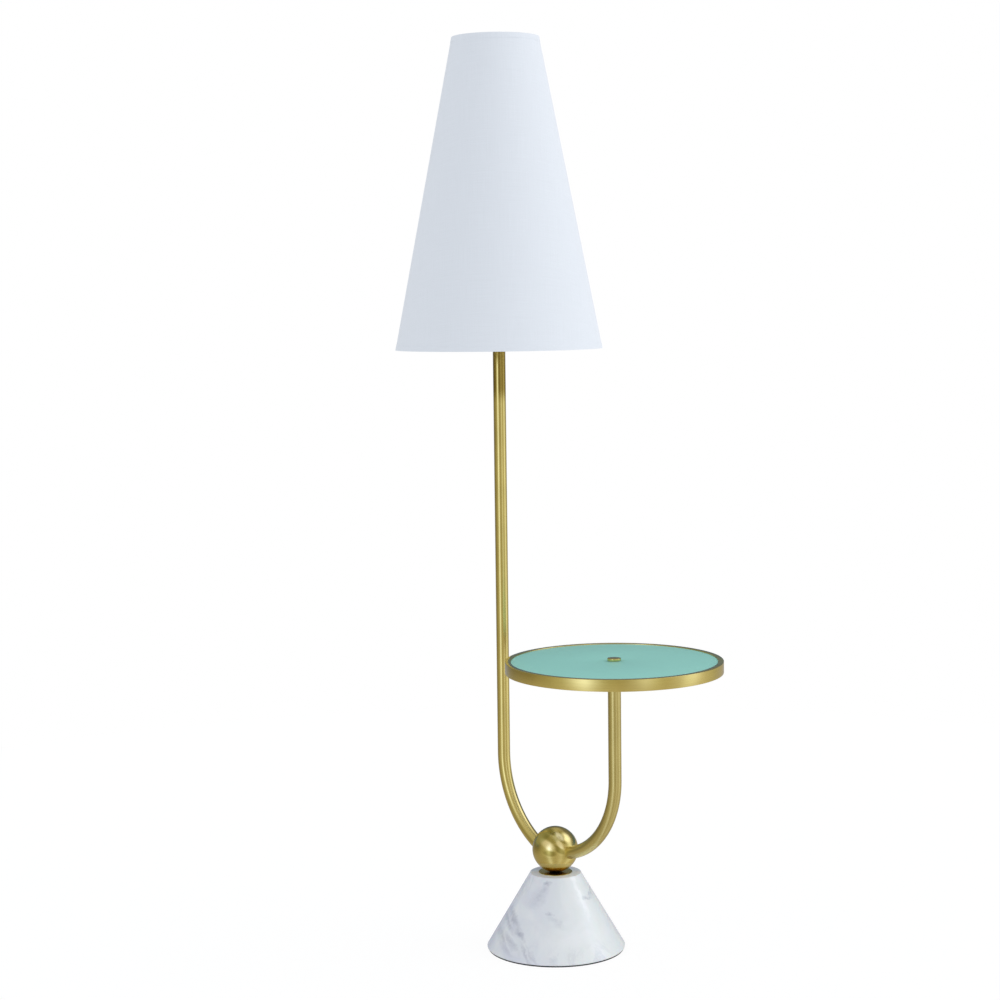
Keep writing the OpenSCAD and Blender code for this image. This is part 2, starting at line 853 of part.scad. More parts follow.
module table_cap() {
    bevel = 0.6;
    r = cap_d / 2;
    color("#b39f52")
        translate([arm_x, 0, cap_z])
            difference() {
                rotate_extrude()
                    polygon([[0, 0], [r, 0], [r, cap_h - bevel], [r - bevel, cap_h], [0, cap_h]]);
                translate([0, 0, -cut]) cylinder(r = stud_r + thread_gap, h = cap_h - cap_roof_t + cut);
            }
}

floor_pad();
marble_base();
base_washer();
lock_washer();
base_nut();
tie_rod();
seat_disc();
cord_bushing();
supply_lead();
ball();
ball_grub_screws();
stem_tube();
arm_tube();
stem_top_bush();
socket_nipple();
check_ring();
nipple_nut();
harp_saddle();
harp();
front_sleeve();
rear_sleeve();
socket_cap();
socket_shell();
socket_liner();
socket_body();
screw_shell();
centre_contact();
terminal_screws();
switch_shaft();
switch_knob();
bulb_glass();
bulb_base();
bulb_contact();
shade_linen();
shade_liner();
shade_spider();
bottom_ring();
top_hem();
bottom_hem();
finial();
table_flange();
flange_screws();
flange_grub_screws();
arm_plug();
table_plate();
table_core();
glass_pads();
table_glass();
table_rim();
table_stud();
cap_washer();
table_cap();
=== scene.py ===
import json
import math
import bmesh
import bpy
from mathutils import Matrix, Vector


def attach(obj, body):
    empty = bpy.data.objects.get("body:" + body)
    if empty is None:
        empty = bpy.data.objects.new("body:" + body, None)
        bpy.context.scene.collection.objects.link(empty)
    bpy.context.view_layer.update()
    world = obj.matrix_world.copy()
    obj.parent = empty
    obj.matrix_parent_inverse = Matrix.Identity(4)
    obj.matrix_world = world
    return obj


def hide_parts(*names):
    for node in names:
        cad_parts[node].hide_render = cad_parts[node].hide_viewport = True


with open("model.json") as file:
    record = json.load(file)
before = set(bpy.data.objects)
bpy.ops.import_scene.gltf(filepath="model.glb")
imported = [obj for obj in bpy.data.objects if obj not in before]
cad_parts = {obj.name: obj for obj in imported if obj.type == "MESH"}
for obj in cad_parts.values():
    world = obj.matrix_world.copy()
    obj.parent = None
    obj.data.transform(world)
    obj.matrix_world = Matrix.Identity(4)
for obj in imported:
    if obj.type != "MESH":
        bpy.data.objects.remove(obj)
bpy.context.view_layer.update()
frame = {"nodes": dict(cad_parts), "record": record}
nodes = frame["nodes"]
scene = bpy.context.scene
scene.view_settings.view_transform = "Standard"
print("frame in place,", len(nodes), "nodes")

# Camera, fitted to the lamp's edges in the picture (metres and degrees)
shot = {
    "lens": 76.991, "sensor": 36, "clip": (0.05, 60),
    "place": (2.74645, -2.41983, 1.13661), "heading": 50.01, "pitch": 5.449, "roll": -0.713,
}

heading, pitch, roll = (math.radians(shot[key]) for key in ("heading", "pitch", "roll"))
viewX, viewY = -math.sin(heading), math.cos(heading)  # level direction of the view
forward = Vector((viewX * math.cos(pitch), viewY * math.cos(pitch), -math.sin(pitch)))
upward = Vector((viewX * math.sin(pitch), viewY * math.sin(pitch), math.cos(pitch)))
right = Vector((math.cos(heading), math.sin(heading), 0))
rolledRight = right * math.cos(roll) + upward * math.sin(roll)
rolledUp = upward * math.cos(roll) - right * math.sin(roll)
turn = Matrix((rolledRight, rolledUp, -forward)).transposed().to_4x4()
cameraData = bpy.data.cameras.new("camera")
cameraData.lens = shot["lens"]
cameraData.sensor_width = shot["sensor"]
cameraData.clip_start, cameraData.clip_end = shot["clip"]
camera = bpy.data.objects.new("camera", cameraData)
camera.matrix_world = Matrix.Translation(shot["place"]) @ turn
scene.collection.objects.link(camera)
scene.camera = camera


# Short ways to add and join shader nodes
class Finish:
    def __init__(self, name, world=None):
        self.material = world or bpy.data.materials.new(name)
        self.material.use_nodes = True
        self.tree = self.material.node_tree
        self.shader = self.tree.nodes.get("Principled BSDF")

    def add(self, kind, inputs=None, **settings):
        node = self.tree.nodes.new("ShaderNode" + kind)
        for key, value in settings.items():
            setattr(node, key, value)
        for key, value in (inputs or {}).items():
            self.feed(node, key, value)
        return node

    def feed(self, node, key, value):
        socket = node.inputs[key]
        if isinstance(value, bpy.types.NodeSocket):
            self.tree.links.new(value, socket)
        elif isinstance(value, bpy.types.Node):
            self.tree.links.new(next(out for out in value.outputs if out.enabled), socket)
        else:
            socket.default_value = value

    def surface(self, **values):
        for key, value in values.items():
            self.feed(self.shader, key.replace("_", " "), value)

    def math(self, operation, *values):
        return self.add("Math", dict(enumerate(values)), operation=operation).outputs[0]

    def mix(self, amount, first, second, blend="MIX"):
        node = self.add("Mix", data_type="RGBA", blend_type=blend)
        for index, value in ((0, amount), (6, first), (7, second)):
            if isinstance(value, tuple):
                value = (*value, 1)[:4]
            self.feed(node, index, value)
        return node.outputs[2]

    # Stops are pairs of place and colour, and a plain number is a grey
    def ramp(self, amount, stops, mode="LINEAR"):
        node = self.add("ValToRGB", {0: amount})
        node.color_ramp.interpolation = mode
        elements = node.color_ramp.elements
        for index, (place, colour) in enumerate(stops):
            stop = elements[index] if index < 2 else elements.new(place)
            stop.position = place
            stop.color = (*colour, 1) if isinstance(colour, tuple) else (colour, colour, colour, 1)
        return node.outputs[0]

    # Carries a value from one range to another and holds it at the ends
    def span(self, value, start, end, low=0.0, high=1.0, mode="LINEAR"):
        ends = {"Value": value, "From Min": start, "From Max": end, "To Min": low, "To Max": high}
        return self.add("MapRange", ends, interpolation_type=mode).outputs[0]

    def axis(self, vector, index):
        return self.add("SeparateXYZ", {0: vector}).outputs[index]

    def place(self, source="Object", scale=(1, 1, 1), offset=(0, 0, 0), turned=(0, 0, 0)):
        coordinates = self.add("TexCoord").outputs[source]
        rotation = tuple(math.radians(a) for a in turned)
        mapping = {"Vector": coordinates, "Scale": scale, "Location": offset, "Rotation": rotation}
        return self.add("Mapping", mapping).outputs[0]

    def noise(self, vector, scale, detail=2, roughness=0.5, distortion=0):
        values = {"Vector": vector, "Scale": scale, "Detail": detail}
        values.update({"Roughness": roughness, "Distortion": distortion})
        return self.add("TexNoise", values).outputs[0]

    def bump(self, height, strength, distance):
        values = {"Height": height, "Strength": strength, "Distance": distance}
        return self.add("Bump", values).outputs[0]


def toned(tone, share):
    return tuple(min(1, channel * share) for channel in tone)


# Soft patches on a form, each (to the right, towards the front, height, half length, half width,
# slope, strength). They fade at the edge, so each is drawn longer and wider by these shares.
fade = {"long": 1.7, "wide": 1.9, "deep": 0.05}


def patches(finish, spot, front, marks):
    angle = math.radians(front)
    total = None
    for out, near, height, long, wide, slope, strength in marks:
        x = out * math.cos(angle) + near * math.sin(angle)
        y = out * math.sin(angle) - near * math.cos(angle)
        mapping = {
            "Vector": spot, "Location": (x, y, height), "Rotation": (0, math.radians(slope), angle),
            "Scale": (long * fade["long"], fade["deep"], wide * fade["wide"]),
        }
        local = finish.add("Mapping", mapping, vector_type="TEXTURE")
        fall = finish.add("TexGradient", {0: local}, gradient_type="SPHERICAL").outputs[1]
        amount = finish.math("MULTIPLY", fall, strength)
        total = amount if total is None else finish.math("MAXIMUM", total, amount)
    return total


# Brass with fine lines along U of the piece's own map, or a fine grain on pieces without one.
# Noises are (scale, detail, roughness, distortion), and a bump is (strength, depth in metres).
brushed = {
    "tone": (0.76, 0.64, 0.25), "dark": 0.9, "light": 1.06, "cloud": (14, 3), "clouds": (0.3, 0.7),
    "lines": (30, 5200, 1), "lineNoise": (1, 3, 0.7),
    "broadLines": (9, 900, 1), "broadShift": (3.7, 1.9, 0), "broadNoise": (1, 2),
    "grain": (1900, 2, 0.6), "broadGrain": (320, 2),
    "streaks": [(0.35, 0.93), (0.65, 1)], "gloss": (0.88, 1.15), "bump": (0.12, 0.00003),
}


def brass(name, tone=brushed["tone"], roughness=0.2, anisotropy=0.0, lines=True, along=False,
          paint=None):
    finish = Finish(name)
    cloud = finish.noise(finish.place(), *brushed["cloud"])
    if lines:
        fine = finish.noise(finish.place("UV", brushed["lines"]), *brushed["lineNoise"])
        broadPlace = finish.place("UV", brushed["broadLines"], brushed["broadShift"])
        broad = finish.noise(broadPlace, *brushed["broadNoise"])
    else:
        fine = finish.noise(finish.place(), *brushed["grain"])
        broad = finish.noise(finish.place(), *brushed["broadGrain"])
    start, end = brushed["clouds"]
    dark, light = toned(tone, brushed["dark"]), toned(tone, brushed["light"])
    colour = finish.mix(finish.ramp(cloud, [(start, 0), (end, 1)]), dark, light)
    colour = finish.mix(1.0, colour, finish.ramp(broad, brushed["streaks"]), "MULTIPLY")
    if paint:
        colour = paint(finish, colour)
    gloss = finish.span(cloud, start, end, *(roughness * share for share in brushed["gloss"]))
    finish.surface(Base_Color=colour, Metallic=1.0, Roughness=gloss, Anisotropic=anisotropy)
    if along:
        finish.surface(Tangent=finish.add("Tangent", direction_type="UV_MAP", uv_map="map"))
    finish.surface(Normal=finish.bump(fine, *brushed["bump"]))
    return finish.material


# Painted reflections on the ball's satin brass: slanting light and dark strokes over the fine
# lines, and a warmer, darker painted reflection of the seat disc on its foot
ballPaintedReflections = {
    "front": 50,  # degrees by which the side with the strokes is turned
    # painted highlights
    "light": [
        (-0.0140, 0.0342, 0.1898, 0.0125, 0.0048, 28, 1.0),
        (0.0088, 0.0356, 0.1903, 0.0085, 0.0032, 38, 1.0),
        (0.0068, 0.0272, 0.2030, 0.0080, 0.0030, 42, 0.9),
    ],
    # painted dark reflections, and painted shade low on the ball
    "dark": [
        (0.0048, 0.0386, 0.1830, 0.0125, 0.0034, 38, 1.0),
        (-0.0090, 0.0310, 0.1985, 0.0150, 0.0055, 30, 0.65),
        (-0.0110, 0.0384, 0.1762, 0.0095, 0.0042, 6, 0.95),
        (-0.0150, 0.0360, 0.1670, 0.0160, 0.0080, 10, 0.36),
        (0.0180, 0.0345, 0.1710, 0.0140, 0.0080, 0, 0.4),
        (-0.0012, 0.0180, 0.2100, 0.0115, 0.0046, 6, 1.0),
        (0.0120, 0.0300, 0.1965, 0.0085, 0.0026, 40, 0.8),
    ],
    "edges": [(0.08, 0), (0.6, 1)],
    "bright": (1.0, 0.87, 0.47), "darkReflectionTint": (0.42, 0.345, 0.095),
    "foot": (0.62, 0.40, 0.05), "footReflectionShare": 0.8, "footReflectionHeight": (0.143, 0.162),
}


# Paints the ball's dark reflections, then its highlights, then the darker warm reflection on its
# foot
def paintBallReflections(finish, colour):
    for marks, tint in (("dark", "darkReflectionTint"), ("light", "bright")):
        share = patches(finish, finish.place(), ballPaintedReflections["front"], ballPaintedReflections[marks])
        share = finish.ramp(share, ballPaintedReflections["edges"], "EASE")
        colour = finish.mix(share, colour, ballPaintedReflections[tint])
    low = finish.span(finish.axis(finish.place(), 2), *ballPaintedReflections["footReflectionHeight"], 1.0, 0.0)
    return finish.mix(finish.math("MULTIPLY", low, ballPaintedReflections["footReflectionShare"]), colour, ballPaintedReflections["foot"])


# Painted shade on the stem just under the lampshade: the brass darkens upwards, and one line along
# it is left out of the painted shade for a while
stemPaintedShade = {
    "low": (0.945, 0.978), "high": (1.012, 1.036), "tint": (0.52, 0.46, 0.30),
    "line": -0.0229, "lineWidth": (0.0012, 0.0024),  # metres round the tube
}


# Paints the shade: darker upwards, except along the one line
def paintStemShade(finish, colour):
    height = finish.axis(finish.place(), 2)
    around = finish.axis(finish.place("UV"), 1)
    aside = finish.math("ABSOLUTE", finish.math("SUBTRACT", around, stemPaintedShade["line"]))
    beside = finish.span(aside, *stemPaintedShade["lineWidth"], mode="SMOOTHSTEP")
    low, high = (finish.span(height, *stemPaintedShade[zone], mode="SMOOTHSTEP") for zone in ("low", "high"))
    share = finish.math("MAXIMUM", finish.math("MULTIPLY", low, beside), high)
    return finish.mix(share, colour, stemPaintedShade["tint"], "MULTIPLY")


# Steel and aluminium of the inner fittings
castMetal = {
    "cloud": (60, 3), "grain": (1400, 2), "dark": 0.88, "gloss": (0.8, 1.25),
    "bump": (0.1, 0.00004),
}


def plainMetal(name, tone, roughness):
    finish = Finish(name)
    cloud = finish.noise(finish.place(), *castMetal["cloud"])
    grain = finish.noise(finish.place(), *castMetal["grain"])
    colour = finish.mix(cloud, toned(tone, castMetal["dark"]), tone)
    gloss = finish.span(cloud, 0, 1, *(roughness * share for share in castMetal["gloss"]))
    finish.surface(Base_Color=colour, Metallic=1.0, Roughness=gloss)
    finish.surface(Normal=finish.bump(grain, *castMetal["bump"]))
    return finish.material


# Plastic, paint, felt and board
moulded = {"cloud": (45, 3), "dark": 0.93, "gloss": (0.9, 1.12), "bump": 0.25, "softDepth": 0.002}


def plainPlastic(name, tone, roughness, grainScale=900, grainDepth=0.00003, subsurface=0.0):
    finish = Finish(name)
    cloud = finish.noise(finish.place(), *moulded["cloud"])
    grain = finish.noise(finish.place(), grainScale, 3)
    colour = finish.mix(cloud, toned(tone, moulded["dark"]), tone)
    gloss = finish.span(cloud, 0, 1, *(roughness * share for share in moulded["gloss"]))
    finish.surface(Base_Color=colour, Roughness=gloss)
    if subsurface:
        finish.surface(Subsurface_Weight=subsurface, Subsurface_Scale=moulded["softDepth"])
    finish.surface(Normal=finish.bump(grain, moulded["bump"], grainDepth))
    return finish.material


# Polished stone: a cool white ground, clouds, soft flecks, thin wandering veins, and white streaks
# of painted highlight
stone = {
    "ground": (0.805, 0.825, 0.845), "lilac": (0.70, 0.72, 0.80), "green": (0.755, 0.79, 0.78),
    "sway": (9, 3), "swayReach": 0.16, "tintWidth": (0.0, 0.15),
    "cloud": (16, 5, 0.6, 0.6), "cloudShift": (1.3, 0.4, 2.2), "clouds": [(0.36, 0), (0.66, 1)],
    "tear": {"Scale": 62, "Detail": 5, "Roughness": 0.6}, "tearReach": 0.02,
    "grain": (170, 4, 0.6), "grainShift": (0.2, 0.6, 0.1), "grains": [(0.3, 0.55), (0.62, 1)],
    "wanderPlace": {"scale": (1, 1, 0.7), "offset": (0.31, 0.12, 0.05), "turned": (20, 35, 0)},
    "wander": (13, 7, 0.62, 1.1), "thinVeins": [(0.0, 1), (0.05, 0)], "thinShare": 0.28,
    "patch": (7, 2), "patchShift": (0.7, 0.2, 0.9), "patchEdges": [(0.48, 0), (0.64, 1)],
    "vein": (0.36, 0.37, 0.46), "veinShare": 0.95,
    "highlightTone": (0.96, 0.97, 0.98), "highlightShare": 0.85,
    "roughness": 0.16, "specular": 0.45, "coat": (0.3, 0.05), "soft": (0.06, 0.006),
    "bump": (0.03, 0.0002),
    "front": 50,  # degrees by which the side with the flecks is turned
    # white streaks on the near side: painted highlights of a light on the polished stone
    "paintedHighlights": [
        (0.0430, 0.0340, 0.0980, 0.0320, 0.0026, 66, 0.8),
        (0.0300, 0.0300, 0.1290, 0.0060, 0.0030, 60, 0.7),
        (-0.0880, 0.0560, 0.0300, 0.0100, 0.0016, 60, 0.5),
    ],
    "flecks": [
        (-0.0155, 0.0458, 0.1255, 0.0060, 0.0026, -18, 0.95),
        (-0.0230, 0.0480, 0.1150, 0.0110, 0.0040, -52, 0.50),
        (-0.0300, 0.0560, 0.1030, 0.0150, 0.0065, -40, 0.45),
        (-0.0130, 0.0730, 0.0800, 0.0055, 0.0024, 4, 0.70),
        (-0.0040, 0.0830, 0.0690, 0.0090, 0.0030, 30, 0.30),
        (0.0040, 0.0860, 0.0640, 0.0060, 0.0040, 70, 0.30),
        (-0.0730, 0.0420, 0.0620, 0.0260, 0.0045, 62, 0.75),
        (-0.0830, 0.0330, 0.0560, 0.0240, 0.0035, 55, 0.70),
        (-0.0640, 0.0720, 0.0430, 0.0090, 0.0034, 38, 0.80),
        (-0.0930, 0.0460, 0.0330, 0.0170, 0.0060, 30, 0.65),
        (-0.0800, 0.0640, 0.0300, 0.0200, 0.0040, 48, 0.60),
        (-0.0880, 0.0560, 0.0180, 0.0150, 0.0040, 40, 0.50),
        (-0.0560, 0.0960, 0.0180, 0.0170, 0.0026, 60, 0.60),
        (-0.0440, 0.1050, 0.0140, 0.0160, 0.0022, 58, 0.50),
        (0.0600, 0.0160, 0.1060, 0.0090, 0.0022, -64, 0.80),
        (0.0530, 0.0300, 0.0985, 0.0080, 0.0020, 12, 0.65),
        (0.1000, 0.0250, 0.0420, 0.0200, 0.0030, 56, 0.30),
        (-0.0100, 0.1140, 0.0100, 0.0070, 0.0030, 10, 0.35),
    ],
}


# The ground turns from lilac on the left to green on the right, under pale clouds
def marbleGround(finish):
    side = finish.axis(finish.place(turned=(0, 0, -stone["front"])), 0)
    sway = finish.noise(finish.place(), *stone["sway"])
    sideways = finish.math("MULTIPLY_ADD", sway, stone["swayReach"], side)
    turned = finish.span(sideways, *stone["tintWidth"])
    tint = finish.ramp(turned, [(0, stone["lilac"]), (1, stone["green"])])
    cloud = finish.noise(finish.place(offset=stone["cloudShift"]), *stone["cloud"])
    return finish.mix(finish.ramp(cloud, stone["clouds"]), tint, stone["ground"])


# Object coordinates torn by a fine noise, which frays the outline of the flecks
def tornPlace(finish):
    torn = finish.add("TexNoise", {"Vector": finish.place(), **stone["tear"]}).outputs[1]
    tear = finish.add("VectorMath", {0: torn, 1: (0.5, 0.5, 0.5)}, operation="SUBTRACT")
    tear = finish.add("VectorMath", {0: tear, "Scale": stone["tearReach"]}, operation="SCALE")
    return finish.add("VectorMath", {0: finish.place(), 1: tear}, operation="ADD").outputs[0]


def marbleFinish():
    finish = Finish("polishedMarble")
    colour = marbleGround(finish)
    spot = tornPlace(finish)
    total = patches(finish, spot, stone["front"], stone["flecks"])
    grain = finish.noise(finish.place(offset=stone["grainShift"]), *stone["grain"])
    total = finish.math("MULTIPLY", total, finish.ramp(grain, stone["grains"]))
    # thin veins everywhere, stronger in a few places
    warped = finish.noise(finish.place(**stone["wanderPlace"]), *stone["wander"])
    ridge = finish.math("ABSOLUTE", finish.math("SUBTRACT", warped, 0.5))
    veins = finish.ramp(ridge, stone["thinVeins"])
    patch = finish.noise(finish.place(offset=stone["patchShift"]), *stone["patch"])
    thin = finish.math("MULTIPLY", veins, finish.ramp(patch, stone["patchEdges"]))
    total = finish.math("MAXIMUM", total, finish.math("MULTIPLY", thin, stone["thinShare"]))
    colour = finish.mix(finish.math("MULTIPLY", total, stone["veinShare"]), colour, stone["vein"])
    # painted highlights: white streaks over the stone
    paintedHighlights = patches(finish, spot, stone["front"], stone["paintedHighlights"])
    paintedHighlights = finish.math("MULTIPLY", paintedHighlights, stone["highlightShare"])
    colour = finish.mix(paintedHighlights, colour, stone["highlightTone"])
    finish.surface(Base_Color=colour, Roughness=stone["roughness"])
    finish.surface(Specular_IOR_Level=stone["specular"])
    finish.surface(Coat_Weight=stone["coat"][0], Coat_Roughness=stone["coat"][1])
    finish.surface(Subsurface_Weight=stone["soft"][0], Subsurface_Scale=stone["soft"][1])
    finish.surface(Normal=finish.bump(warped, *stone["bump"]))
    return finish.material


# Plain weave that follows the flat cut of the cloth, with thicker yarns here and there
cloth = {
    "tone": (0.80, 0.83, 0.875), "yarn": 0.00055, "crown": 0.6, "gaps": [(0.0, 0.93), (0.6, 1)],
    "slubNoise": (1, 3, 0.6), "warp": (1300, 16, 1), "weft": (16, 1300, 1), "weftShift": (5, 9, 0),
    "slubs": [(0.38, 0), (0.62, 1)], "slubDark": 0.955, "slubHeight": 0.8,
    "roughness": 0.9, "specular": 0.2, "sheen": (0.15, 0.5), "bump": (0.35, 0.00008),
}


def linenFinish():
    finish = Finish("whiteLinen")
    across, along = finish.add("SeparateXYZ", {0: finish.place("UV")}).outputs[:2]
    waves = (
        finish.math("SINE", finish.math("MULTIPLY", way, math.pi / cloth["yarn"]))
        for way in (across, along)
    )
    crown = finish.math("ABSOLUTE", finish.math("MULTIPLY", *waves))
    crown = finish.math("POWER", crown, cloth["crown"])
    warpSlub = finish.noise(finish.place("UV", cloth["warp"]), *cloth["slubNoise"])
    weftPlace = finish.place("UV", cloth["weft"], cloth["weftShift"])
    weftSlub = finish.noise(weftPlace, *cloth["slubNoise"])
    slub = finish.math("MULTIPLY", finish.math("ADD", warpSlub, weftSlub), 0.5)
    share = finish.ramp(slub, cloth["slubs"])
    colour = finish.mix(share, toned(cloth["tone"], cloth["slubDark"]), cloth["tone"])
    colour = finish.mix(1.0, colour, finish.ramp(crown, cloth["gaps"]), "MULTIPLY")
    height = finish.math("MULTIPLY_ADD", slub, cloth["slubHeight"], crown)
    finish.surface(Base_Color=colour, Roughness=cloth["roughness"])
    finish.surface(Specular_IOR_Level=cloth["specular"])
    finish.surface(Sheen_Weight=cloth["sheen"][0], Sheen_Roughness=cloth["sheen"][1])
    finish.surface(Normal=finish.bump(height, *cloth["bump"]))
    return finish.material


# Clear glass painted on its back, seen as one smooth coloured sheet under gloss
pane = {
    "tone": (0.295, 0.65, 0.572), "dark": 0.97, "cloud": (5, 2), "clouds": [(0.35, 0), (0.65, 1)],
    "fleck": (2600, 2), "flecks": [(0.3, 0.97), (0.6, 1)],
    "roughness": 0.42, "specular": 0.25, "waves": (60, 2), "bump": (0.02, 0.0005),
}


def paneFinish():
    finish = Finish("paintedGlass")
    cloud = finish.ramp(finish.noise(finish.place(), *pane["cloud"]), pane["clouds"])
    colour = finish.mix(cloud, toned(pane["tone"], pane["dark"]), pane["tone"])
    fleck = finish.ramp(finish.noise(finish.place(), *pane["fleck"]), pane["flecks"])
    colour = finish.mix(1.0, colour, fleck, "MULTIPLY")
    finish.surface(Base_Color=colour, Roughness=pane["roughness"])
    finish.surface(Specular_IOR_Level=pane["specular"])
    waves = finish.noise(finish.place(), *pane["waves"])
    finish.surface(Normal=finish.bump(waves, *pane["bump"]))
    return finish.material


frosted = {
    "dark": (0.83, 0.83, 0.81), "light": (0.89, 0.89, 0.87), "cloud": (40, 2),
    "roughness": 0.35, "coat": (0.4, 0.1), "bump": (0.1, 0.00003),
}


def bulbFinish():
    finish = Finish("frostedBulb")
    cloud = finish.noise(finish.place(), *frosted["cloud"])
    colour = finish.mix(cloud, frosted["dark"], frosted["light"])
    finish.surface(Base_Color=colour, Roughness=frosted["roughness"])
    finish.surface(Coat_Weight=frosted["coat"][0], Coat_Roughness=frosted["coat"][1])
    finish.surface(Normal=finish.bump(cloud, *frosted["bump"]))
    return finish.material


# The stem's brass carries the painted shade under the lampshade
brassTube = brass("brushedBrassTube", roughness=0.19, anisotropy=0.95, along=True,
                  paint=paintStemShade)
# The arm's brass is a darker, rougher copy: the darker tone is painted shade from the table above
# it
shadedBrassArm = brass("shadedBrushedBrassArm", (0.66, 0.56, 0.235), 0.26)
brassTurned = brass("brushedBrassTurned", anisotropy=0.4)
# The ball's brass carries painted reflections
brassBall = brass("satinBrassBall", paint=paintBallReflections)
# The seat disc's brass is a darker copy: painted shade and reflection under the ball
shadedBrassDisc = brass("shadedBrushedBrassDisc", (0.62, 0.51, 0.19), anisotropy=0.4)
brassFitting = brass("brassFitting", roughness=0.24, lines=False)
marble = marbleFinish()
linen = linenFinish()
painted = paneFinish()
liner = plainPlastic("whiteLining", (0.80, 0.81, 0.82), 0.5, 300, 0.00002)
wirePaint = plainPlastic("whiteWirePaint", (0.78, 0.78, 0.77), 0.35)
pad = plainPlastic("darkFelt", (0.012, 0.012, 0.014), 0.95, 2200, 0.0003)
steel = plainMetal("zincSteel", (0.62, 0.63, 0.64), 0.34)
whitePlate = plainPlastic("whitePaintedSteel", (0.84, 0.84, 0.82), 0.45, 1500, 0.00005)
board = plainPlastic("greyBoard", (0.40, 0.38, 0.35), 0.85, 700, 0.00015)
blackPlastic = plainPlastic("blackPlastic", (0.016, 0.016, 0.017), 0.38)
fibre = plainPlastic("paperSleeve", (0.55, 0.50, 0.42), 0.8, 500, 0.0001)
leadCover = plainPlastic("leadCover", (0.70, 0.66, 0.56), 0.45)
clearRubber = plainPlastic("clearBumper", (0.62, 0.64, 0.64), 0.3, 400, 0.00002, 0.3)
aluminium = plainMetal("aluminium", (0.80, 0.81, 0.82), 0.3)
bulbGlass = bulbFinish()
print("finishes made")

slotFinish = {
    "brass": brassFitting, "brass_fitting": brassFitting, "marble": marble, "teal_glass": painted,
    "bulb_glass": bulbGlass, "linen": linen, "styrene": liner, "white_wire": wirePaint, "pad": pad,
    "steel": steel, "white_plate": whitePlate, "board": board, "black_plastic": blackPlastic,
    "fibre": fibre, "lead_sheath": leadCover, "clear_rubber": clearRubber, "aluminium": aluminium,
}

touching = 1e-6  # metres within which two points are one


# Turns a finished bmesh into a piece that rides on its body
def makePiece(name, bm, material, body, stands=(), sharp=30):
    mesh = bpy.data.meshes.new(name)
    bm.to_mesh(mesh)
    bm.free()
    mesh.shade_smooth()
    mesh.set_sharp_from_angle(angle=math.radians(sharp))
    mesh.materials.append(material)
    piece = bpy.data.objects.new(name, mesh)
    scene.collection.objects.link(piece)
    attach(piece, body)
    if stands:
        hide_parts(*stands)
    return piece


def roundEdges(bm, width, angle=25, segments=3):
    edges = [e for e in bm.edges if e.is_manifold and e.calc_face_angle(0) > math.radians(angle)]
    bmesh.ops.bevel(
        bm, geom=edges, offset=width, offset_type="OFFSET", segments=segments, profile=0.5,
        affect="EDGES", clamp_overlap=True, material=-1,
    )


# Spins an outline of (radius, height) points round an upright axis
def turnedForm(outline, steps=180, centre=0.0, ring=False, bevel=0.0):
    bm = bmesh.new()
    points = [bm.verts.new((centre + r, 0, z)) for r, z in outline]
    ends = points[1:] + points[:1] if ring else points[1:]
    edges = [bm.edges.new(pair) for pair in zip(points, ends)]
    bmesh.ops.spin(
        bm, geom=points + edges, cent=(centre, 0, 0), axis=(0, 0, 1), angle=2 * math.pi,
        steps=steps, use_merge=True,
    )
    bmesh.ops.remove_doubles(bm, verts=bm.verts, dist=touching)
    bmesh.ops.recalc_face_normals(bm, faces=bm.faces)
    if bevel:
        roundEdges(bm, bevel)
    return bm


# Turns an angle by whole rounds until it is next to another
def nextTo(angle, other):
    return angle + 2 * math.pi * round((other - angle) / (2 * math.pi))


# Maps a turned form: U runs round it, V along its outline
def mapRound(bm, centre, radius, along=lambda r, z: z - r):
    layer = bm.loops.layers.uv.new("map")
    for face in bm.faces:
        middle = face.calc_center_median()
        start = math.atan2(middle.y, middle.x - centre)
        for loop in face.loops:
            x, y, z = loop.vert.co
            r = math.hypot(x - centre, y)
            angle = math.atan2(y, x - centre) if r > touching else start
            loop[layer].uv = (nextTo(angle, start) * radius, along(r, z))


